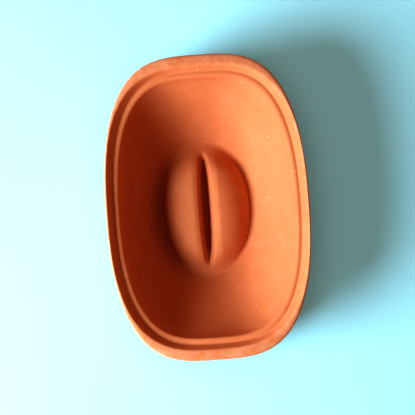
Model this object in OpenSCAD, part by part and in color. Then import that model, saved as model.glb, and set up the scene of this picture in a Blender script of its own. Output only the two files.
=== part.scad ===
// Butter crock of unglazed clay in two pieces: an oval base with a raised lip and a deep lid.
// The lid is put away upside down inside the base, standing on its crown.
// Origin: centre of the base's foot, on the surface that it stands on. +Z is up, +Y is lengthwise.

/* [Size] */
// Width over the long sides
crock_w = 125; // [115:1:135]
// Length over the ends
crock_l = 188; // [175:1:200]

/* [Base] */
// Height of the land that the closed lid rests on
base_h = 27.5; // [25:0.5:29]
// Thickness of the floor
base_floor = 8; // [7:0.5:9]
// Height of the lip above the land
lip_h = 4.5; // [3:0.5:5]
// Thickness of the lip at its top
lip_t = 4.2; // [3.6:0.1:4.4]
// Half width of the flat foot
foot_half_w = 40; // [36:1:44]
// Half length of the flat foot
foot_half_l = 66; // [60:1:70]

/* [Lid] */
// Height of the lid from its rim to its crown
lid_h = 55; // [52:1:60]
// Thickness of the crown under the deepest part of the bowl
crown_t = 7.5; // [6.5:0.5:9]
// Depth of the seat below the rim
seat_d = 5.2; // [4.6:0.2:5.6]
// Height of the oval mound in the bowl
mound_h = 14; // [12:1:16]

/* [Grip] */
// Depth of each finger recess below the crown
recess_d = 16; // [13:0.5:16]
// Half width of the grip ridge between the recesses
ridge_half_w = 8.6; // [8:0.2:9.6]
// Half length of the straight part of the ridge
grip_half_l = 32; // [28:1:33]
// Half width of the slot in the mound, inside the ridge
slot_half_w = 2.9; // [2.6:0.1:3.2]
// Half length of the slot, which is pointed at both ends
slot_half_l = 40; // [37:1:41]

/* [Put away] */
// Gap between the lid's crown and the base's floor
stow_gap = 0.3; // [0.2:0.1:0.6]

/* [Hidden] */
clay_color = [0.82, 0.46, 0.28];

half_w = crock_w / 2;
half_l = crock_l / 2;

// How square an oval is: the first number shapes its long sides, the second its ends
rim_square = [3.4, 2.4];
seat_square = [3.1, 2.7];
floor_square = [2.2, 2.2];
mound_square = [2, 2];

// Insets from the outline, [at the long sides, at the ends]
seat_top = [1.3, 6.8];
seat_foot = [5, 10];
ledge_edge = [8.5, 14];
fit_gap = 0.5;
edge_r = 0.8;
lip_round = 0.6;

// Bowl of the lid: depth = bowl_depth * (1 - t^bowl_q)^(1/bowl_p), with t from the centre to the ledge
bowl_p = 1.4;
bowl_q = 1.7;
valley = 0.548;
ledge_d = seat_d + 0.4;
bowl_depth = (lid_h - crown_t - ledge_d) / pow(1 - pow(valley, bowl_q), 1 / bowl_p);

// Outside of the lid, by the same kind of curve, cut flat at the crown
dome_p = 1.505;
dome_q = 1.9;
crown_edge = 0.464;
dome_depth = lid_h / pow(1 - pow(crown_edge, dome_q), 1 / dome_p);

// Oval outlines of the mound and of the recess behind it
mound_half = [28.3, 43.5];
recess_half = [24.5, 38];

// How far from the slot, and how deep, the mound rolls down to it
shoulder_w = 9;
shoulder_d = 3;
// Depth of the slot, as a share of the mound's height
slot_share = 0.85;

// Mesh: cells across and along the middle patch, and rings in each zone
cells_x = 16;
cells_y = 26;
patch_half = [11, 33];
mound_rings = 6;
bowl_rings = 10;
dome_rings = 12;
crown_rings = 6;
around = 2 * (cells_x + cells_y);
patch_size = (cells_x + 1) * (cells_y + 1);

// ---- Curves ----

function mix(a, b, t) = a + (b - a) * t;
function clamp(t) = min(max(t, 0), 1);
function smooth(lo, hi, v) = let (t = clamp((v - lo) / (hi - lo))) t * t * (3 - 2 * t);

// Point of an oval with the given half sizes at an angle
function oval(angle, half, square) =
    let (
        c = abs(cos(angle)),
        s = abs(sin(angle)),
        sum = pow(c, square[0]) + pow(s, square[1])
    )
    [half[0] * cos(angle) * pow(sum, -1 / square[0]), half[1] * sin(angle) * pow(sum, -1 / square[1])];

// How far out a point is, as a part of an oval's half sizes
function reach(p, half, square) =
    pow(pow(abs(p[0]) / half[0], square[0]) + pow(abs(p[1]) / half[1], square[1]), 1 / square[0]);

function inset(by) = [half_w - by[0], half_l - by[1]];

// Swelling of the mound and of the recess: 1 in the middle, 0 from the edge outwards, softer at the ends
function swell(p, half) =
    let (fade = 0.85 + 0.85 * smooth(0.5, 1, abs(p[1]) / half[1]))
    pow(1 - pow(clamp(reach(p, half, mound_square)), 3), fade);

// Distance from the straight line along the middle of the grip
function off_grip(p) = norm([p[0], max(abs(p[1]) - grip_half_l, 0)]);

// Height of the bowl's middle over the crown plane: the mound, rolled down to a slot that is sunk into it
function bowl_middle(p) =
    let (
        along = min(abs(p[1]) / slot_half_l, 1),
        slot_w = slot_half_w * sqrt(1 - along * along),
        slot = slot_share * smooth(1, 0.75, along) * (1 - smooth(slot_w - 2.4, slot_w + 2.4, abs(p[0]))),
        roll = smooth(shoulder_w, 0, abs(p[0])) * shoulder_d / mound_h
    )
    crown_t + mound_h * swell(p, mound_half) * (1 - slot) * (1 - roll);

// Height of the crown's underside: the two recesses, with the ridge left standing between them
function crown_middle(p) =
    let (out = smooth(ridge_half_w - 1.5, ridge_half_w + 1.9, off_grip(p)))
    recess_d * swell(p, recess_half) * out;

function bowl_height(t) = lid_h - ledge_d - bowl_depth * pow(1 - pow(t, bowl_q), 1 / bowl_p);
function dome_height(t) = lid_h - dome_depth * pow(1 - pow(t, dome_q), 1 / dome_p);

// ---- Middle patch: a grid of cells lined up with the grip ----

function patch_xy(k) = [
    mix(-patch_half[0], patch_half[0], (k % (cells_x + 1)) / cells_x),
    mix(-patch_half[1], patch_half[1], floor(k / (cells_x + 1)) / cells_y)
];

function patch_id(ix, iy) = iy * (cells_x + 1) + ix;

// Grid point number i of the patch's edge, counted anticlockwise from the corner at +X, -Y
function edge_id(i) =
    i < cells_y ? patch_id(cells_x, i)
    : i < cells_y + cells_x ? patch_id(cells_x - (i - cells_y), cells_y)
    : i < 2 * cells_y + cells_x ? patch_id(0, 2 * cells_y + cells_x - i)
    : patch_id(i - 2 * cells_y - cells_x, 0);

// Angle of ring point i, so that the patch's corners look at the ovals' corners
function ring_angle(i) =
    i < cells_y ? mix(-45, 45, i / cells_y)
    : i < cells_y + cells_x ? mix(45, 135, (i - cells_y) / cells_x)
    : i < 2 * cells_y + cells_x ? mix(135, 225, (i - cells_y - cells_x) / cells_y)
    : mix(225, 315, (i - 2 * cells_y - cells_x) / cells_x);

// Ring between the patch's edge and an oval, at part f of the way out
function middle_xy(i, f, half, square) =
    let (inner = patch_xy(edge_id(i)), outer = oval(ring_angle(i), half, square))
    [for (axis = [0, 1]) mix(inner[axis], outer[axis], f)];

function level_ring(half, square, z) =
    [for (i = [0:around - 1]) concat(oval(ring_angle(i), half, square), z)];

// ---- Shells: points in rings, joined by quads ----

function quads(a, b, n) = [for (i = [0:n - 1]) [a[i], a[(i + 1) % n], b[(i + 1) % n], b[i]]];

function ring_ids(start, n) = [for (i = [0:n - 1]) start + i];

// Ring at height z, with half sizes inset from the outline
function base_ring(by, square, z) = level_ring(inset(by), square, z);

// ---- Sub-parts ----

// Open dish with a flat foot, a land for the lid's rim and a raised lip that the lid's seat fits over
module base() {
    land = [edge_r, edge_r];
    lip_foot = seat_top + [fit_gap, fit_gap];
    lip_top = seat_foot + [fit_gap, fit_gap];
    lip_in = lip_top + [lip_t, lip_t];
    mouth = inset(lip_in);
    floor_half = [34, 58];
    foot_half = [foot_half_w, foot_half_l];
    top_z = base_h + lip_h;
    wall_steps = 9;
    outer_wall = [
        for (k = [0:wall_steps])
            let (
                u = k / wall_steps,
                out = pow(1 - pow(1 - u, 1.5), 0.8),
                half = [for (axis = [0, 1]) mix(foot_half[axis], inset([0, 0])[axis], out)]
            )
            level_ring(half, mix(floor_square, rim_square, u), u * (base_h - edge_r))
    ];
    rim = [
        base_ring(land, rim_square, base_h),
        base_ring(lip_foot, seat_square, base_h),
        base_ring(lip_top, rim_square, top_z - lip_round),
        base_ring(lip_top + [lip_round, lip_round], rim_square, top_z),
        base_ring(lip_in - [lip_round, lip_round], rim_square, top_z),
        base_ring(lip_in, rim_square, top_z - lip_round)
    ];
    inner_wall = [
        for (k = [1:wall_steps])
            let (
                u = 1 - k / wall_steps,
                out = pow(1 - pow(1 - u, 2), 0.5),
                half = [for (axis = [0, 1]) mix(floor_half[axis], mouth[axis], out)]
            )
            level_ring(half, mix(floor_square, rim_square, u), mix(base_floor, top_z - lip_round, u))
    ];
    rings = concat(outer_wall, rim, inner_wall);
    last = len(rings) - 1;
    points = [for (ring = rings) each ring];
    walls = [
        for (r = [0:last - 1])
            each quads(ring_ids((r + 1) * around, around), ring_ids(r * around, around), around)
    ];
    foot_face = ring_ids(0, around);
    floor_face = [for (i = [around - 1:-1:0]) last * around + i];
    color(clay_color)
        polyhedron(points = points, faces = concat(walls, [foot_face], [floor_face]));
}

// Deep oval lid, bowl side up: stepped rim, mound with a slot inside, recesses and a ridge underneath
module lid() {
    ledge = inset(ledge_edge);
    bowl_patch = [for (k = [0:patch_size - 1]) concat(patch_xy(k), bowl_middle(patch_xy(k)))];
    mound_zone = [
        for (r = [1:mound_rings])
            [
                for (i = [0:around - 1])
                    let (p = middle_xy(i, r / mound_rings, valley * ledge, floor_square))
                    concat(p, bowl_middle(p))
            ]
    ];
    bowl_zone = [
        for (r = [1:bowl_rings])
            let (u = r / bowl_rings, t = mix(valley, 1, sin(90 * u)))
            level_ring(t * ledge, mix(floor_square, rim_square, u), bowl_height(t))
    ];
    rim_zone = [
        base_ring(seat_foot, rim_square, lid_h - seat_d),
        base_ring(seat_top, seat_square, lid_h),
        base_ring([edge_r, edge_r], rim_square, lid_h),
        base_ring([0, 0], rim_square, lid_h - edge_r)
    ];
    dome_zone = [
        for (r = [1:dome_rings])
            let (
                u = 1 - r / dome_rings,
                t = mix(crown_edge, 1, sin(90 * u))
            )
            level_ring(t * inset([0, 0]), mix(floor_square, rim_square, u), dome_height(t))
    ];
    crown_zone = [
        for (r = [1:crown_rings - 1])
            [
                for (i = [0:around - 1])
                    let (p = middle_xy(i, 1 - r / crown_rings, crown_edge * inset([0, 0]), floor_square))
                    concat(p, crown_middle(p))
            ]
    ];
    crown_patch = [for (k = [0:patch_size - 1]) concat(patch_xy(k), crown_middle(patch_xy(k)))];
    rings = concat(mound_zone, bowl_zone, rim_zone, dome_zone, crown_zone);
    crown_start = patch_size + len(rings) * around;
    bowl_edge = [for (i = [0:around - 1]) edge_id(i)];
    crown_edge_ids = [for (i = [0:around - 1]) crown_start + edge_id(i)];
    chain = concat(
        [bowl_edge],
        [for (r = [0:len(rings) - 1]) ring_ids(patch_size + r * around, around)],
        [crown_edge_ids]
    );
    walls = [for (r = [0:len(chain) - 2]) each quads(chain[r], chain[r + 1], around)];
    cells = [
        for (iy = [0:cells_y - 1], ix = [0:cells_x - 1])
            [patch_id(ix, iy), patch_id(ix, iy + 1), patch_id(ix + 1, iy + 1), patch_id(ix + 1, iy)]
    ];
    crown_cells = [for (f = cells) [for (k = [3:-1:0]) crown_start + f[k]]];
    points = concat(bowl_patch, [for (ring = rings) each ring], crown_patch);
    color(clay_color)
        translate([0, 0, base_floor + stow_gap])
            polyhedron(points = points, faces = concat(walls, cells, crown_cells));
}

base();
lid();
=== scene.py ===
"""Butter crock in unglazed clay: an oval base, and its deep lid put away upside down inside it.

Both pieces are pressed clay shells. Each is drawn out ring by ring from its middle, over its rim and
down its other side, then rounded by subdivision, pressed where the grip is, and fired with a matt
terracotta finish. Sizes are in metres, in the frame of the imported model.
"""

import logging
import math
from dataclasses import dataclass, field
from enum import Enum

import bmesh
import bpy
import numpy as np
from mathutils import Matrix, Vector


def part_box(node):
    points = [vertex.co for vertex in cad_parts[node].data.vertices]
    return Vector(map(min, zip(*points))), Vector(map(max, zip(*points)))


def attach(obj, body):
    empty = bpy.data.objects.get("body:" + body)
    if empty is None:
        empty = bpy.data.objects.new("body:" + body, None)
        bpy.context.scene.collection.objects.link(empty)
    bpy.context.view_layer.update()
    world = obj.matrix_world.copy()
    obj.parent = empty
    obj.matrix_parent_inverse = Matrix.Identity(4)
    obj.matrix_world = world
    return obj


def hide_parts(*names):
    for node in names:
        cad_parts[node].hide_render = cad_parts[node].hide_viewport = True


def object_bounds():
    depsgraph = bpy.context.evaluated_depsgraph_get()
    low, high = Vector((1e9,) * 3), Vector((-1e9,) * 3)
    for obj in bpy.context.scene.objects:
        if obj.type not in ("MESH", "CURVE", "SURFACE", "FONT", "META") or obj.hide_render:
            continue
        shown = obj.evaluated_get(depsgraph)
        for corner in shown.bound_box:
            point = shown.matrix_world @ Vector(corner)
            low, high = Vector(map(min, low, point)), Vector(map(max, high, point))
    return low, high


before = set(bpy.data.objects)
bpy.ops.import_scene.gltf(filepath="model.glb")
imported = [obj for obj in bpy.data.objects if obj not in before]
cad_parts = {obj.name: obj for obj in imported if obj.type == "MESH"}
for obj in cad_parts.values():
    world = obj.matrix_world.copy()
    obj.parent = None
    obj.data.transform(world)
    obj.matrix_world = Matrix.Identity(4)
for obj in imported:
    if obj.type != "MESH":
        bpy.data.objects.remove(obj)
cad_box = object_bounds()

log = logging.getLogger("butter_crock")

Pair = tuple[float, float]
Colour = tuple[float, float, float]
Socket = bpy.types.NodeSocket

MM = 0.001

# Height under a rounded outer edge that is left to the edge's own rings.
EDGE_ROOM = 3.0 * MM

# How square an oval is: the first number shapes its long sides, the second its ends.
RIM_SQUARE: Pair = (3.4, 2.4)
SEAT_SQUARE: Pair = (3.1, 2.7)
FLOOR_SQUARE: Pair = (2.2, 2.2)
GRIP_SQUARE: Pair = (5.0, 5.0)


def mix(low: float, high: float, share: float) -> float:
    """Value at a share of the way from low to high."""
    return low + (high - low) * share


def mix_pair(low: Pair, high: Pair, share: float) -> Pair:
    """Pair at a share of the way from low to high."""
    return mix(low[0], high[0], share), mix(low[1], high[1], share)


def smooth(low: float, high: float, value: np.ndarray) -> np.ndarray:
    """Smooth step from 0 below low to 1 above high."""
    share = np.clip((value - low) / (high - low), 0.0, 1.0)
    return share * share * (3.0 - 2.0 * share)


def reach(x: np.ndarray, y: np.ndarray, half: Pair, square: float) -> np.ndarray:
    """How far out each point is, as a share of an oval's half sizes."""
    return (np.abs(x / half[0]) ** square + np.abs(y / half[1]) ** square) ** (1.0 / square)


class Look(Enum):
    """Contrast of the picture."""

    STRONG = "Very High Contrast"


@dataclass(frozen=True)
class Ring:
    """One level oval ring of a shell.

    Attributes:
        half: Half width and half length.
        square: How square its long sides and its ends are.
        z: Height in the frame.
    """

    half: Pair
    square: Pair
    z: float

    def places(self, count: int) -> list[Vector]:
        """Returns count points round the ring, in the order of their angle from -180 to 180 degrees."""
        found = []
        for step in range(count):
            angle = math.radians(-180.0 + 360.0 * (step + 0.5) / count)
            c, s = math.cos(angle), math.sin(angle)
            total = abs(c) ** self.square[0] + abs(s) ** self.square[1]
            x = self.half[0] * c * total ** (-1.0 / self.square[0])
            y = self.half[1] * s * total ** (-1.0 / self.square[1])
            found.append(Vector((x, y, self.z)))
        return found


@dataclass
class PressedShell:
    """A closed clay shell that is drawn out from the middle of one face to the middle of the other.

    Attributes:
        name: Name of the finished piece.
        node: CAD node that the piece stands for.
        body: Body that it rides on.
        around: Points round each ring.
        refine: Levels of subdivision that round the rings off.
    """

    name: str
    node: str
    body: str
    around: int = 80
    refine: int = 2

    def rings(self) -> list[Ring]:
        """Rings in order, from the upper face's middle over the rim to the lower face's middle."""
        raise NotImplementedError

    def press(self, places: np.ndarray, normals: np.ndarray) -> np.ndarray:
        """Moves the rounded shell's points where a tool is pressed into it. By default nothing moves.

        Args:
            places: Points, one row each.
            normals: Their outward normals.

        Returns:
            The moved points.
        """
        return places

    def wear(self, places: np.ndarray, normals: np.ndarray) -> np.ndarray:
        """How rubbed each point is, from 0 to 1."""
        return np.zeros(len(places))

    def build(self) -> bpy.types.Object:
        """Models the shell.

        Returns:
            The finished mesh object, riding on its body.
        """
        piece = self._draw_out(self.rings())
        self._round_off(piece)
        self._press_and_rub(piece)
        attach(piece, self.body)
        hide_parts(self.node)
        return piece

    def _draw_out(self, rings: list[Ring]) -> bpy.types.Object:
        """Extrudes a loop from ring to ring and closes both ends with a grid of faces."""
        bpy.ops.object.select_all(action="DESELECT")
        bpy.ops.mesh.primitive_circle_add(vertices=self.around, radius=rings[0].half[0])
        piece = bpy.context.object
        piece.name = self.name
        piece.data.name = self.name
        bpy.ops.object.mode_set(mode="EDIT")
        bpy.ops.mesh.select_mode(type="VERT")
        bpy.ops.mesh.select_all(action="SELECT")
        self._settle(piece, rings[0])
        self._fill()
        self._select_open_edge(piece)
        for ring in rings[1:]:
            bpy.ops.mesh.extrude_edges_move()
            self._settle(piece, ring)
        self._fill()
        bpy.ops.mesh.select_all(action="SELECT")
        bpy.ops.mesh.normals_make_consistent(inside=False)
        bpy.ops.object.mode_set(mode="OBJECT")
        return piece

    def _settle(self, piece: bpy.types.Object, ring: Ring) -> None:
        """Moves the selected loop of points onto a ring, each to the place that has its turn in angle."""
        mesh = bmesh.from_edit_mesh(piece.data)
        loop = [point for point in mesh.verts if point.select]
        places = ring.places(self.around)
        if self._is_circle(mesh):
            turn = math.pi / self.around
            rotation = Matrix.Rotation(turn, 3, "Z")
            for point in loop:
                point.co = rotation @ point.co
        loop.sort(key=lambda point: math.atan2(point.co.y, point.co.x))
        for point, place in zip(loop, places):
            point.co = place
        bmesh.update_edit_mesh(piece.data)

    def _is_circle(self, mesh: bmesh.types.BMesh) -> bool:
        """True while the shell is still the round loop that it starts from."""
        return not mesh.faces

    def _fill(self) -> None:
        """Fills the selected loop with a grid whose corners lie at the oval's corners."""
        corner = math.radians(45.0)
        span = 2 * round(corner * self.around / (2 * math.pi)) - 1
        bpy.ops.mesh.fill_grid(span=span, offset=0)

    def _select_open_edge(self, piece: bpy.types.Object) -> None:
        """Selects the loop of edges that has a face on one side only."""
        bpy.ops.mesh.select_all(action="DESELECT")
        mesh = bmesh.from_edit_mesh(piece.data)
        for edge in mesh.edges:
            if len(edge.link_faces) == 1:
                edge.select_set(True)
        mesh.select_flush_mode()
        bmesh.update_edit_mesh(piece.data)

    def _round_off(self, piece: bpy.types.Object) -> None:
        """Rounds the rings into one smooth shell."""
        bpy.ops.object.select_all(action="DESELECT")
        piece.select_set(True)
        bpy.context.view_layer.objects.active = piece
        modifier = piece.modifiers.new("Round off", "SUBSURF")
        modifier.levels = self.refine
        modifier.render_levels = self.refine
        bpy.ops.object.modifier_apply(modifier=modifier.name)
        bpy.ops.object.shade_smooth()

    def _press_and_rub(self, piece: bpy.types.Object) -> None:
        """Presses the shell and stores how rubbed each point is."""
        mesh = piece.data
        count = len(mesh.vertices)
        places = np.zeros(count * 3)
        normals = np.zeros(count * 3)
        mesh.vertices.foreach_get("co", places)
        mesh.vertex_normals.foreach_get("vector", normals)
        moved = self.press(places.reshape(-1, 3), normals.reshape(-1, 3))
        mesh.vertices.foreach_set("co", np.ascontiguousarray(moved).reshape(-1))
        mesh.update()
        mesh.vertex_normals.foreach_get("vector", normals)
        rub = mesh.attributes.new("rub", "FLOAT", "POINT")
        rub.data.foreach_set("value", self.wear(moved, normals.reshape(-1, 3)).astype(np.float32))


@dataclass
class Lid(PressedShell):
    """The deep lid, lying bowl side up.

    Attributes:
        crown_t: Thickness of the crown under the deepest part of the bowl.
        seat_d: Depth of the seat below the rim.
        seat_top: Inset of the seat's upper edge from the outline, at the sides and at the ends.
        seat_foot: Inset of the seat's lower edge.
        ledge_edge: Inset of the ledge's inner edge.
        valley: Where the bowl meets the mound, as a share of the ledge's half sizes.
        crown_edge: Edge of the flat crown, as a share of the outline's half sizes.
        mound_half: Half sizes of the mound.
        mound_h: Height of the mound.
        recess_half: Half sizes of the two finger recesses together.
        recess_d: Depth of the recesses.
        grip_half: Half sizes of the middle patch that holds the ridge and the slot.
        grip_straight: Half length of the straight part of the ridge.
        ridge_half_w: Half width of the ridge.
        slot_half: Half width and half length of the slot, which is pointed at both ends.
        slot_share: Depth of the slot, as a share of the mound's height.
        shoulder: How far from the slot, and how deep, the mound rolls down to it.
    """

    crown_t: float = 7.5 * MM
    seat_d: float = 5.2 * MM
    seat_top: Pair = (1.3 * MM, 6.8 * MM)
    seat_foot: Pair = (5.0 * MM, 10.0 * MM)
    ledge_edge: Pair = (8.5 * MM, 14.0 * MM)
    valley: float = 0.548
    crown_edge: float = 0.464
    mound_half: Pair = (28.3 * MM, 43.5 * MM)
    mound_h: float = 14.0 * MM
    recess_half: Pair = (24.5 * MM, 38.0 * MM)
    recess_d: float = 16.0 * MM
    grip_half: Pair = (9.5 * MM, 38.0 * MM)
    grip_straight: float = 32.0 * MM
    ridge_half_w: float = 8.6 * MM
    slot_half: Pair = (2.9 * MM, 40.0 * MM)
    slot_share: float = 0.85
    shoulder: Pair = (9.0 * MM, 3.0 * MM)
    outline: Pair = field(init=False)
    rim_z: float = field(init=False)
    crown_z: float = field(init=False)

    def __post_init__(self) -> None:
        """Takes the outline and the heights from the CAD node."""
        low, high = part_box(self.node)
        self.outline = (high.x, high.y)
        self.rim_z = high.z
        self.crown_z = low.z

    def inset(self, by: Pair) -> Pair:
        """Half sizes of the outline moved in by so much at the sides and at the ends."""
        return self.outline[0] - by[0], self.outline[1] - by[1]

    def rings(self) -> list[Ring]:
        """Rings from the bowl's middle over the rim to the crown's middle."""
        return self._floor_rings() + self._wall_rings() + self._rim_rings() + self._dome_rings()

    def _floor_rings(self) -> list[Ring]:
        """Rings of the flat floor, from the grip out to the foot of the bowl's wall."""
        floor_z = self.crown_z + self.crown_t
        edge = tuple(self.valley * size for size in self.inset(self.ledge_edge))
        steps = 5
        return [
            Ring(
                mix_pair(self.grip_half, edge, k / steps),
                mix_pair(GRIP_SQUARE, FLOOR_SQUARE, k / steps),
                floor_z,
            )
            for k in range(steps)
        ]

    def _wall_rings(self) -> list[Ring]:
        """Rings of the bowl's wall, from the floor up to the ledge."""
        ledge = self.inset(self.ledge_edge)
        power_t, power_z, steps = 1.7, 1.4, 11
        top_z = self.rim_z - self.seat_d - 0.4 * MM
        drop = (top_z - self.crown_z - self.crown_t) / (1.0 - self.valley**power_t) ** (1.0 / power_z)
        found = []
        for k in range(steps):
            u = k / (steps - 1)
            t = mix(self.valley, 1.0, math.sin(math.radians(90.0 * u)))
            z = top_z - drop * (1.0 - t**power_t) ** (1.0 / power_z)
            found.append(Ring((t * ledge[0], t * ledge[1]), mix_pair(FLOOR_SQUARE, RIM_SQUARE, u), z))
        return found

    def _rim_rings(self) -> list[Ring]:
        """Rings of the rounded ledge, the sloped seat, the land and the rounded outer edge."""
        rim, seat = self.rim_z, self.rim_z - self.seat_d
        levels = [
            (mix_pair(self.ledge_edge, self.seat_foot, 0.25), RIM_SQUARE, seat + 0.25 * MM),
            (mix_pair(self.ledge_edge, self.seat_foot, 0.60), RIM_SQUARE, seat + 0.40 * MM),
            (mix_pair(self.ledge_edge, self.seat_foot, 0.92), RIM_SQUARE, seat),
            (mix_pair(self.seat_foot, self.seat_top, 0.08), RIM_SQUARE, seat + 0.3 * MM),
            (mix_pair(self.seat_foot, self.seat_top, 0.80), SEAT_SQUARE, rim - 1.1 * MM),
            (mix_pair(self.seat_foot, self.seat_top, 0.96), SEAT_SQUARE, rim - 0.2 * MM),
            ((1.0 * MM, 5.6 * MM), SEAT_SQUARE, rim),
            ((0.7 * MM, 3.0 * MM), RIM_SQUARE, rim - 0.1 * MM),
            ((0.2 * MM, 0.8 * MM), RIM_SQUARE, rim - 0.7 * MM),
            ((0.0, 0.0), RIM_SQUARE, rim - 2.0 * MM),
        ]
        return [Ring(self.inset(by), square, z) for by, square, z in levels]

    def _dome_rings(self) -> list[Ring]:
        """Rings of the outside, from under the rim down to the crown and in to the grip."""
        power_t, power_z, steps = 1.9, 1.505, 12
        drop = (self.rim_z - self.crown_z) / (1.0 - self.crown_edge**power_t) ** (1.0 / power_z)
        found = []
        for k in range(1, steps + 1):
            u = 1.0 - k / steps
            t = mix(self.crown_edge, 1.0, math.sin(math.radians(90.0 * u)))
            z = self.rim_z - drop * (1.0 - t**power_t) ** (1.0 / power_z)
            if z < self.rim_z - EDGE_ROOM:
                half = (t * self.outline[0], t * self.outline[1])
                found.append(Ring(half, mix_pair(FLOOR_SQUARE, RIM_SQUARE, u), z))
        edge, inner_steps = found[-1].half, 5
        for k in range(1, inner_steps + 1):
            share = 1.0 - k / inner_steps
            half = mix_pair(self.grip_half, edge, share)
            found.append(Ring(half, mix_pair(GRIP_SQUARE, FLOOR_SQUARE, share), self.crown_z))
        return found

    def press(self, places: np.ndarray, normals: np.ndarray) -> np.ndarray:
        """Raises the mound, sinks the slot into it, and presses the two finger recesses into the crown."""
        x, y, z = places.T
        mound = self.mound_h * self._swell(x, y, self.mound_half)
        along = np.minimum(np.abs(y) / self.slot_half[1], 1.0)
        half_w = self.slot_half[0] * np.sqrt(1.0 - along**2)
        sunk = self.slot_share * smooth(1.0, 0.75, along)
        slot = sunk * (1.0 - smooth(half_w - 2.4 * MM, half_w + 2.4 * MM, np.abs(x)))
        roll = smooth(self.shoulder[0], 0.0, np.abs(x)) * self.shoulder[1] / self.mound_h
        slot = 1.0 - (1.0 - slot) * (1.0 - roll)
        off_grip = np.hypot(x, np.maximum(np.abs(y) - self.grip_straight, 0.0))
        beside_ridge = smooth(self.ridge_half_w - 1.5 * MM, self.ridge_half_w + 1.9 * MM, off_grip)
        recess = self.recess_d * self._swell(x, y, self.recess_half) * beside_ridge
        upper = normals[:, 2] > 0.0
        lifted = np.where(upper, z + mound * (1.0 - slot), z + recess)
        return np.column_stack((x, y, lifted))

    def _swell(self, x: np.ndarray, y: np.ndarray, half: Pair) -> np.ndarray:
        """Rounded swelling: 1 in the middle, 0 from the edge outwards, and fading softly at the ends."""
        out = np.minimum(reach(x, y, half, 2.0), 1.0)
        fade = 0.85 + 0.85 * smooth(0.5, 1.0, np.abs(y) / half[1])
        return (1.0 - out**3.0) ** fade

    def wear(self, places: np.ndarray, normals: np.ndarray) -> np.ndarray:
        """The land and the outer edge are rubbed by setting the lid down, the ridge by fingers."""
        x, y, z = places.T
        rim = smooth(self.rim_z - 2.5 * MM, self.rim_z - 0.2 * MM, z)
        crown = smooth(self.crown_z + 2.0 * MM, self.crown_z, z)
        return np.maximum(rim, crown)


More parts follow.
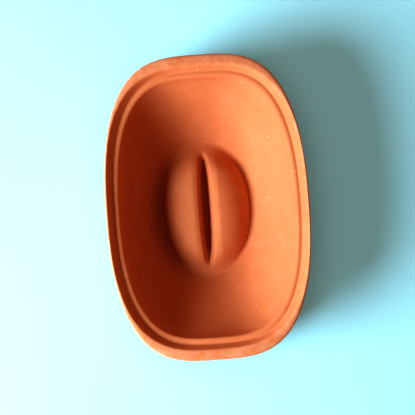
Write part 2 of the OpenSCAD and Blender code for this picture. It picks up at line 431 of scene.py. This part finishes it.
@dataclass
class Base(PressedShell):
    """The open dish that the lid sits on or, put away, in.

    Attributes:
        floor_t: Thickness of the floor.
        lip_h: Height of the lip over the land.
        lip_t: Thickness of the lip at its top.
        fit_gap: Gap between the lip and the lid's seat when the crock is closed.
        seat_top: Inset of the upper edge of the lid's seat, which the lip's foot follows.
        seat_foot: Inset of the lower edge of the lid's seat, which the lip's top follows.
        foot_half: Half sizes of the flat foot.
        floor_half: Half sizes of the flat floor.
    """

    floor_t: float = 8.0 * MM
    lip_h: float = 4.5 * MM
    lip_t: float = 4.2 * MM
    fit_gap: float = 0.5 * MM
    seat_top: Pair = (1.3 * MM, 6.8 * MM)
    seat_foot: Pair = (5.0 * MM, 10.0 * MM)
    foot_half: Pair = (40.0 * MM, 66.0 * MM)
    floor_half: Pair = (34.0 * MM, 58.0 * MM)
    outline: Pair = field(init=False)
    top_z: float = field(init=False)

    def __post_init__(self) -> None:
        """Takes the outline and the height from the CAD node."""
        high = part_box(self.node)[1]
        self.outline = (high.x, high.y)
        self.top_z = high.z

    def inset(self, by: Pair, more: float = 0.0) -> Pair:
        """Half sizes of the outline moved in by so much at the sides and at the ends."""
        return self.outline[0] - by[0] - more, self.outline[1] - by[1] - more

    def rings(self) -> list[Ring]:
        """Rings from the floor's middle, over the lip, to the foot's middle."""
        return self._inner_rings() + self._lip_rings() + self._outer_rings()

    def _inner_rings(self) -> list[Ring]:
        """Rings of the floor and of the inner wall."""
        mouth = self.inset(self.seat_foot, self.fit_gap + self.lip_t)
        top = self.top_z - 0.9 * MM
        found = []
        for k in range(1, 5):
            share = k / 5
            half = (self.floor_half[0] * share, self.floor_half[1] * mix(0.6, 1.0, share))
            found.append(Ring(half, FLOOR_SQUARE, self.floor_t))
        for k in range(9):
            u = k / 8
            half = mix_pair(self.floor_half, mouth, math.sqrt(1.0 - (1.0 - u) ** 2))
            found.append(Ring(half, mix_pair(FLOOR_SQUARE, RIM_SQUARE, u), mix(self.floor_t, top, u)))
        return found

    def _lip_rings(self) -> list[Ring]:
        """Rings of the lip and of the land."""
        land = self.top_z - self.lip_h
        levels = [
            (self.seat_foot, self.fit_gap + self.lip_t - 0.8 * MM, RIM_SQUARE, self.top_z),
            (self.seat_foot, self.fit_gap + 0.9 * MM, RIM_SQUARE, self.top_z),
            (self.seat_foot, self.fit_gap + 0.1 * MM, RIM_SQUARE, self.top_z - 0.7 * MM),
            (self.seat_top, self.fit_gap + 0.6 * MM, SEAT_SQUARE, land + 0.7 * MM),
            (self.seat_top, self.fit_gap - 0.1 * MM, SEAT_SQUARE, land),
            ((1.7 * MM, 3.0 * MM), 0.0, RIM_SQUARE, land),
            ((0.6 * MM, 0.8 * MM), 0.0, RIM_SQUARE, land - 0.3 * MM),
            ((0.1 * MM, 0.2 * MM), 0.0, RIM_SQUARE, land - 1.0 * MM),
            ((0.0, 0.0), 0.0, RIM_SQUARE, land - 2.2 * MM),
        ]
        return [Ring(self.inset(by, more), square, z) for by, more, square, z in levels]

    def _outer_rings(self) -> list[Ring]:
        """Rings of the outside wall, the rounded foot edge and the foot."""
        land = self.top_z - self.lip_h
        found = []
        for k in range(1, 10):
            u = 1.0 - k / 10
            out = (1.0 - (1.0 - u) ** 1.5) ** 0.8
            z = u * (land - 0.8 * MM)
            if z < land - EDGE_ROOM:
                half = mix_pair(self.foot_half, self.outline, out)
                found.append(Ring(half, mix_pair(FLOOR_SQUARE, RIM_SQUARE, u), z))
        found.append(Ring(mix_pair(self.foot_half, self.outline, 0.02), FLOOR_SQUARE, 0.5 * MM))
        found.append(Ring(self.foot_half, FLOOR_SQUARE, 0.0))
        for k in range(1, 5):
            share = 1.0 - k / 6
            half = (self.foot_half[0] * share, self.foot_half[1] * mix(0.6, 1.0, share))
            found.append(Ring(half, FLOOR_SQUARE, 0.0))
        return found

    def wear(self, places: np.ndarray, normals: np.ndarray) -> np.ndarray:
        """The lip and the foot are rubbed."""
        z = places[:, 2]
        lip = smooth(self.top_z - 1.2 * MM, self.top_z - 0.1 * MM, z)
        foot = smooth(1.5 * MM, 0.0, z)
        return np.maximum(lip, foot)


class Nodes:
    """A short way to lay out shader nodes."""

    def __init__(self, material: bpy.types.Material) -> None:
        """Starts from the material's own node tree, emptied."""
        material.use_nodes = True
        self.tree = material.node_tree
        self.tree.nodes.clear()

    def add(self, kind: str, **values: object) -> bpy.types.Node:
        """Adds a node.

        Args:
            kind: Node type, without the ShaderNode prefix.
            values: Properties by name; names of inputs start with in_ and use _ for spaces.

        Returns:
            The new node.
        """
        node = self.tree.nodes.new("ShaderNode" + kind)
        for name, value in values.items():
            if name.startswith("in_"):
                node.inputs[name[3:].replace("_", " ")].default_value = value
            else:
                setattr(node, name, value)
        return node

    def link(self, source: Socket, target: Socket) -> None:
        """Joins an output to an input."""
        self.tree.links.new(source, target)


@dataclass(frozen=True)
class Terracotta:
    """Matt unglazed clay, fired orange, with fine grain, soft mottling, grit and rubbed edges.

    Attributes:
        name: Name of the material.
        clay: Main colour.
        pale: Colour of the paler mottling and of rubbed edges.
        deep: Colour of the redder mottling.
        grit: Colour of pale specks of grit.
        iron: Colour of dark iron specks.
        roughness: Roughness of the plain clay.
        sheen: Strength of the clay's faint reflection.
    """

    name: str = "terracotta"
    clay: Colour = (0.61, 0.248, 0.110)
    pale: Colour = (0.72, 0.360, 0.205)
    deep: Colour = (0.53, 0.162, 0.055)
    grit: Colour = (0.88, 0.64, 0.46)
    iron: Colour = (0.22, 0.06, 0.02)
    roughness: float = 0.86
    sheen: float = 0.25

    def make(self) -> bpy.types.Material:
        """Builds the material.

        Returns:
            The finished material.
        """
        material = bpy.data.materials.new(self.name)
        nodes = Nodes(material)
        place = nodes.add("TexCoord").outputs["Object"]
        colour = self._colour(nodes, place)
        shader = nodes.add("BsdfPrincipled")
        shader.inputs["Specular IOR Level"].default_value = self.sheen
        nodes.link(colour, shader.inputs["Base Color"])
        nodes.link(self._roughness(nodes, place), shader.inputs["Roughness"])
        nodes.link(self._relief(nodes, place), shader.inputs["Normal"])
        output = nodes.add("OutputMaterial")
        nodes.link(shader.outputs["BSDF"], output.inputs["Surface"])
        return material

    def _noise(self, nodes: Nodes, place: Socket, size: float, detail: float) -> Socket:
        """Noise whose lumps are about size metres across."""
        noise = nodes.add("TexNoise", in_Scale=1.0 / size, in_Detail=detail, in_Roughness=0.55)
        nodes.link(place, noise.inputs["Vector"])
        return noise.outputs["Fac"]

    def _ramp(self, nodes: Nodes, value: Socket, low: float, high: float) -> Socket:
        """Stretches a value between low and high to 0 and 1."""
        ramp = nodes.add("MapRange", clamp=True)
        ramp.inputs["From Min"].default_value = low
        ramp.inputs["From Max"].default_value = high
        nodes.link(value, ramp.inputs["Value"])
        return ramp.outputs["Result"]

    def _tint(self, nodes: Nodes, share: Socket, first: Socket | Colour, second: Colour) -> Socket:
        """Mixes a second colour into the first by a share."""
        mixer = nodes.add("Mix", data_type="RGBA")
        nodes.link(share, mixer.inputs["Factor"])
        if isinstance(first, tuple):
            mixer.inputs[6].default_value = (*first, 1.0)
        else:
            nodes.link(first, mixer.inputs[6])
        mixer.inputs[7].default_value = (*second, 1.0)
        return mixer.outputs[2]

    def _scaled(self, nodes: Nodes, value: Socket, by: float) -> Socket:
        """Multiplies a value by a number."""
        times = nodes.add("Math", operation="MULTIPLY")
        nodes.link(value, times.inputs[0])
        times.inputs[1].default_value = by
        return times.outputs[0]

    def _specks(self, nodes: Nodes, place: Socket, pitch: float, radius: float, few: float) -> Socket:
        """Round specks on a random few of the cells of a jittered lattice."""
        cells = nodes.add("TexVoronoi", in_Scale=1.0 / pitch)
        nodes.link(place, cells.inputs["Vector"])
        near = self._ramp(nodes, cells.outputs["Distance"], radius / pitch, 0.5 * radius / pitch)
        split = nodes.add("SeparateColor")
        nodes.link(cells.outputs["Color"], split.inputs["Color"])
        chosen = nodes.add("Math", operation="GREATER_THAN")
        nodes.link(split.outputs["Red"], chosen.inputs[0])
        chosen.inputs[1].default_value = 1.0 - few
        both = nodes.add("Math", operation="MULTIPLY")
        nodes.link(near, both.inputs[0])
        nodes.link(chosen.outputs[0], both.inputs[1])
        return both.outputs[0]

    def _colour(self, nodes: Nodes, place: Socket) -> Socket:
        """Clay colour: broad and fine mottling, pale rubbed edges, pale grit and dark iron specks."""
        broad = self._ramp(nodes, self._noise(nodes, place, 45 * MM, 3.0), 0.35, 0.70)
        colour = self._tint(nodes, self._scaled(nodes, broad, 0.28), self.clay, self.deep)
        cloud = self._ramp(nodes, self._noise(nodes, place, 9 * MM, 5.0), 0.45, 0.75)
        colour = self._tint(nodes, self._scaled(nodes, cloud, 0.20), colour, self.pale)
        grain = self._ramp(nodes, self._noise(nodes, place, 0.9 * MM, 2.0), 0.35, 0.75)
        colour = self._tint(nodes, self._scaled(nodes, grain, 0.22), colour, self.deep)
        rub = nodes.add("Attribute", attribute_name="rub").outputs["Fac"]
        worn = nodes.add("Math", operation="MULTIPLY")
        nodes.link(rub, worn.inputs[0])
        nodes.link(self._ramp(nodes, self._noise(nodes, place, 5 * MM, 4.0), 0.35, 0.65), worn.inputs[1])
        colour = self._tint(nodes, self._scaled(nodes, worn.outputs[0], 0.55), colour, self.pale)
        iron = self._specks(nodes, place, 5.0 * MM, 0.28 * MM, 0.5)
        colour = self._tint(nodes, self._scaled(nodes, iron, 0.55), colour, self.iron)
        grit = self._specks(nodes, place, 7.0 * MM, 0.55 * MM, 0.30)
        return self._tint(nodes, self._scaled(nodes, grit, 0.8), colour, self.grit)

    def _roughness(self, nodes: Nodes, place: Socket) -> Socket:
        """Roughness: even, a little smoother where the clay was wiped."""
        wiped = self._noise(nodes, place, 14 * MM, 3.0)
        spread = nodes.add("MapRange", clamp=True)
        spread.inputs["From Min"].default_value = 0.3
        spread.inputs["From Max"].default_value = 0.7
        spread.inputs["To Min"].default_value = self.roughness - 0.08
        spread.inputs["To Max"].default_value = self.roughness + 0.08
        nodes.link(wiped, spread.inputs["Value"])
        return spread.outputs["Result"]

    def _relief(self, nodes: Nodes, place: Socket) -> Socket:
        """Relief: soft waves of the pressed clay under a fine sandy grain."""
        wave = nodes.add("Bump", in_Strength=0.35, in_Distance=0.5 * MM)
        nodes.link(self._noise(nodes, place, 12 * MM, 2.0), wave.inputs["Height"])
        grain = nodes.add("Bump", in_Strength=0.35, in_Distance=0.12 * MM)
        nodes.link(self._noise(nodes, place, 0.7 * MM, 3.0), grain.inputs["Height"])
        nodes.link(wave.outputs["Normal"], grain.inputs["Normal"])
        return grain.outputs["Normal"]


@dataclass(frozen=True)
class PaleTable:
    """The plain pale surface under the crock.

    Attributes:
        colour: Colour of the surface.
        side: Length of its sides.
        gap: Gap under the foot, so that the two faces don't lie in one plane.
        roughness: Roughness of the surface.
    """

    colour: Colour = (0.34, 0.68, 0.74)
    side: float = 6.0
    gap: float = 0.2 * MM
    roughness: float = 0.75

    def lay(self) -> bpy.types.Object:
        """Lays the surface at the foot's height and returns it."""
        bpy.ops.object.select_all(action="DESELECT")
        bpy.ops.mesh.primitive_plane_add(size=self.side, location=(0.0, 0.0, cad_box[0][2] - self.gap))
        table = bpy.context.object
        table.name = "table"
        material = bpy.data.materials.new("pale_table")
        nodes = Nodes(material)
        shader = nodes.add("BsdfPrincipled", in_Roughness=self.roughness)
        shader.inputs["Base Color"].default_value = (*self.colour, 1.0)
        output = nodes.add("OutputMaterial")
        nodes.link(shader.outputs["BSDF"], output.inputs["Surface"])
        table.data.materials.append(material)
        return table


@dataclass(frozen=True)
class Studio:
    """Soft light from the low left, a faint warm sky, and a camera that looks almost straight down.

    Attributes:
        key_from: Direction of the key light from the lid's rim.
        key_distance: Distance of the key light.
        key_size: Width of the key light.
        key_power: Power of the key light, in watts.
        key_colour: Colour of the key light.
        sky_colour: Colour of the sky.
        horizon: Strength of the sky at the horizon.
        zenith: Strength of the sky above the haze.
        haze: Height of the bright haze over the horizon, as the sine of its angle.
        fill_height: Height of the light that fills the crock's shadow.
        fill_size: Width of the fill.
        fill_power: Power of the fill, in watts.
        aim: Point at the rim's height that the camera looks at.
        eye_off: Place of the camera beside the middle.
        eye_height: Height of the camera over the rim.
        turn: Turn of the picture, in degrees.
        seen: Width of the picture at the rim's height.
        contrast: Contrast of the picture.
    """

    key_from: tuple[float, float, float] = (-0.79, -0.27, 0.55)
    key_distance: float = 1.0
    key_size: float = 0.6
    key_power: float = 14.4
    key_colour: Colour = (0.93, 1.02, 1.18)
    sky_colour: Colour = (1.0, 0.54, 0.38)
    horizon: float = 1.4
    zenith: float = 0.17
    haze: float = 0.25
    fill_height: float = 1.6
    fill_size: float = 1.2
    fill_power: float = 6.4
    aim: Pair = (-0.3 * MM, -0.6 * MM)
    eye_off: Pair = (-21.0 * MM, -27.0 * MM)
    eye_height: float = 0.75
    turn: float = 4.2
    seen: float = 0.2531
    contrast: Look = Look.STRONG

    def _fill_shadow(self, table: bpy.types.Object) -> None:
        """Hangs a broad light straight above that lights the table only, to lift the crock's shadow."""
        bpy.ops.object.light_add(type="AREA", location=(0.0, 0.0, self.fill_height))
        fill = bpy.context.object
        fill.name = "fill_light"
        fill.data.shape = "DISK"
        fill.data.size = self.fill_size
        fill.data.energy = self.fill_power
        lit = bpy.data.collections.new("filled")
        lit.objects.link(table)
        fill.light_linking.receiver_collection = lit

    def _open_sky(self) -> None:
        """Sets a faint sky that brightens towards the horizon."""
        world = bpy.data.worlds.new("sky")
        world.use_nodes = True
        tree = world.node_tree
        background = tree.nodes["Background"]
        background.inputs["Color"].default_value = (*self.sky_colour, 1.0)
        direction = tree.nodes.new("ShaderNodeTexCoord")
        height = tree.nodes.new("ShaderNodeSeparateXYZ")
        tree.links.new(direction.outputs["Generated"], height.inputs[0])
        fade = tree.nodes.new("ShaderNodeMapRange")
        fade.interpolation_type = "SMOOTHSTEP"
        fade.inputs["From Min"].default_value = 0.0
        fade.inputs["From Max"].default_value = self.haze
        fade.inputs["To Min"].default_value = self.horizon
        fade.inputs["To Max"].default_value = self.zenith
        tree.links.new(height.outputs["Z"], fade.inputs["Value"])
        tree.links.new(fade.outputs["Result"], background.inputs["Strength"])
        bpy.context.scene.world = world

    def light(self, table: bpy.types.Object) -> None:
        """Hangs the key light and the fill, and sets the sky.

        Args:
            table: The surface that the fill lights.
        """
        towards = Vector(self.key_from).normalized()
        aim = Vector((0.0, 0.0, cad_box[1][2]))
        bpy.ops.object.light_add(type="AREA", location=aim + towards * self.key_distance)
        key = bpy.context.object
        key.name = "key_light"
        key.data.shape = "DISK"
        key.data.size = self.key_size
        key.data.energy = self.key_power
        key.data.color = self.key_colour
        key.rotation_euler = towards.to_track_quat("Z", "Y").to_euler()
        self._fill_shadow(table)
        self._open_sky()
        bpy.context.scene.view_settings.view_transform = "Standard"
        bpy.context.scene.view_settings.look = self.contrast.value

    def look(self, rim_z: float) -> None:
        """Places the camera.

        Args:
            rim_z: Height of the lid's rim, which the picture's scale is set at.
        """
        aim = Vector((*self.aim, rim_z))
        eye = Vector((*self.eye_off, rim_z + self.eye_height))
        turn = math.radians(self.turn)
        back = (eye - aim).normalized()
        up = Vector((math.sin(turn), math.cos(turn), 0.0))
        right = up.cross(back).normalized()
        up = back.cross(right)
        lens = bpy.data.cameras.new("camera")
        lens.sensor_width = 36.0
        lens.lens = lens.sensor_width * (eye - aim).length / self.seen
        camera = bpy.data.objects.new("camera", lens)
        camera.matrix_world = Matrix.Translation(eye) @ Matrix((right, up, back)).transposed().to_4x4()
        bpy.context.scene.collection.objects.link(camera)
        bpy.context.scene.camera = camera


def report(piece: bpy.types.Object) -> None:
    """Logs a finished piece with its size and its number of faces."""
    size = ", ".join(f"{side / MM:.1f}" for side in piece.dimensions)
    log.info("%s: %s mm, %d faces", piece.name, size, len(piece.data.polygons))


def main() -> None:
    """Builds the crock and the studio round it."""
    logging.basicConfig(level=logging.INFO, format="%(name)s: %(message)s")
    clay = Terracotta().make()
    lid = Lid(name="clay_lid", node="lid", body="lid")
    base = Base(name="clay_base", node="base", body="base")
    for shell in (lid, base):
        piece = shell.build()
        piece.data.materials.append(clay)
        report(piece)
    table = PaleTable().lay()
    studio = Studio()
    studio.light(table)
    studio.look(lid.rim_z)


if __name__ == "__main__":
    main()
